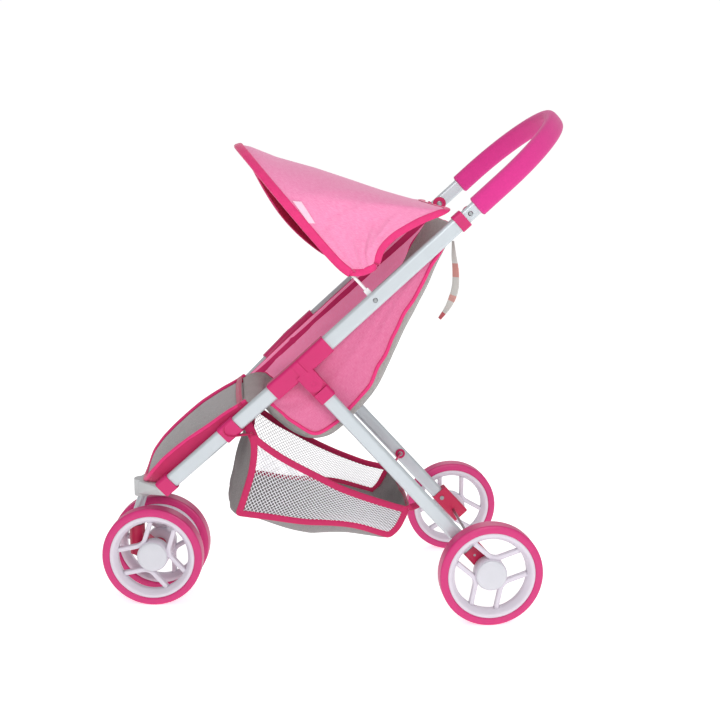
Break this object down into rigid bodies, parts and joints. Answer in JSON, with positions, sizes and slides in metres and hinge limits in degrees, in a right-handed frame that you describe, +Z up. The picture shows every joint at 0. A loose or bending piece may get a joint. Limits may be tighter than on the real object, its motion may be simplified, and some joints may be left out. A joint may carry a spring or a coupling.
{
  "type": "doll stroller",
  "caption": "Three-wheeled folding doll stroller with a swivelling front wheel pair, padded sling seat, folding hood, foam U-shaped handle and net basket.",
  "frame": {"origin": "on the floor, under the middle of the stroller's own box", "axes": "+Z up, +X to the stroller's left (the side nearest in the picture), the front wheels toward -Y"},
  "size_m": [0.3016, 0.5948, 0.6324],
  "materials": {
    "lacquered_tube": "pale silver lacquer, satin",
    "pink_plastic": "hot pink moulding, soft gloss",
    "crimson_plastic": "crimson moulding, soft gloss",
    "white_plastic": "pale grey-white moulding",
    "white_rod": "white coated wire",
    "foam_grip": "closed-cell foam, matt magenta",
    "steel": "plain steel",
    "pink_fabric": "light pink plain weave",
    "pink_binding": "hot pink woven binding",
    "grey_linen": "heathered grey linen look",
    "white_net": "white open net",
    "white_tape": "blank white satin tape",
    "white_rim": "lilac-white moulding",
    "pink_tyre": "solid pink tyre, satin"
  },
  "bodies": {
    "frame": {"upper_tube_left": "lacquered_tube", "upper_tube_right": "lacquered_tube", "lower_tube_left": "lacquered_tube", "lower_tube_right": "lacquered_tube", "side_joint_left": "pink_plastic", "side_joint_right": "pink_plastic", "collar_left": "pink_plastic", "collar_right": "pink_plastic", "handle_tube": "lacquered_tube", "handle_grip": "foam_grip", "handle_rivets": "steel", "seat_clip_left": "pink_plastic", "seat_clip_right": "pink_plastic", "seat_crossbar": "lacquered_tube", "tube_cap_left": "pink_plastic", "tube_cap_right": "pink_plastic", "front_yoke": "white_plastic", "steering_tube": "lacquered_tube", "steering_bolt": "steel", "hood_rivets": "steel", "seat_side_left": "pink_fabric", "seat_side_right": "pink_fabric", "seat_sling": "grey_linen", "legrest": "grey_linen", "care_tag": "white_tape", "basket_side_left": "white_net", "basket_side_right": "white_net", "basket_floor": "grey_linen", "basket_front": "grey_linen", "basket_rear": "grey_linen"},
    "rear_legs": {"leg_socket_left": "pink_plastic", "leg_socket_right": "pink_plastic", "fold_pins": "steel", "rear_leg_left": "lacquered_tube", "rear_leg_right": "lacquered_tube", "axle_bracket_left": "crimson_plastic", "axle_bracket_right": "crimson_plastic", "bracket_screws": "steel", "rear_axle": "steel", "basket_tabs": "pink_binding"},
    "rear_wheel_left": {"rear_rim_left": "white_rim", "rear_tyre_left": "pink_tyre", "rear_cap_left": "white_rim"},
    "rear_wheel_right": {"rear_rim_right": "white_rim", "rear_tyre_right": "pink_tyre", "rear_cap_right": "white_rim"},
    "caster": {"caster_block": "crimson_plastic", "front_axle": "steel"},
    "front_wheel_left": {"front_rim_left": "white_rim", "front_tyre_left": "pink_tyre", "front_cap_left": "white_rim"},
    "front_wheel_right": {"front_rim_right": "white_rim", "front_tyre_right": "pink_tyre", "front_cap_right": "white_rim"},
    "hood": {"hood_bow": "white_rod", "hood_clips": "white_plastic", "hood_fabric": "pink_fabric"}
  },
  "joints": [
    {"name": "leg_fold", "type": "hinge", "parent": "frame", "child": "rear_legs", "pos_m": [0, -0.02772, 0.30578], "axis": [1, 0, 0], "range_deg": [-62, 0]},
    {"name": "rear_wheel_left_spin", "type": "hinge", "parent": "rear_legs", "child": "rear_wheel_left", "pos_m": [0.1398, 0.18908, 0.065], "axis": [1, 0, 0], "continuous": true},
    {"name": "rear_wheel_right_spin", "type": "hinge", "parent": "rear_legs", "child": "rear_wheel_right", "pos_m": [-0.1398, 0.18908, 0.065], "axis": [1, 0, 0], "continuous": true},
    {"name": "caster_swivel", "type": "hinge", "parent": "frame", "child": "caster", "pos_m": [0, -0.25431, 0.1], "axis": [0, 0, 1], "continuous": true},
    {"name": "front_wheel_left_spin", "type": "hinge", "parent": "caster", "child": "front_wheel_left", "pos_m": [0.00344, -0.22854, 0.065], "axis": [0.9912, -0.1323, 0], "continuous": true},
    {"name": "front_wheel_right_spin", "type": "hinge", "parent": "caster", "child": "front_wheel_right", "pos_m": [0.00344, -0.22854, 0.065], "axis": [0.9912, -0.1323, 0], "continuous": true},
    {"name": "hood_fold", "type": "hinge", "parent": "frame", "child": "hood", "pos_m": [0, 0.04725, 0.40559], "axis": [1, 0, 0], "range_deg": [-70, 20], "deforming": ["hood_fabric"]}
  ]
}
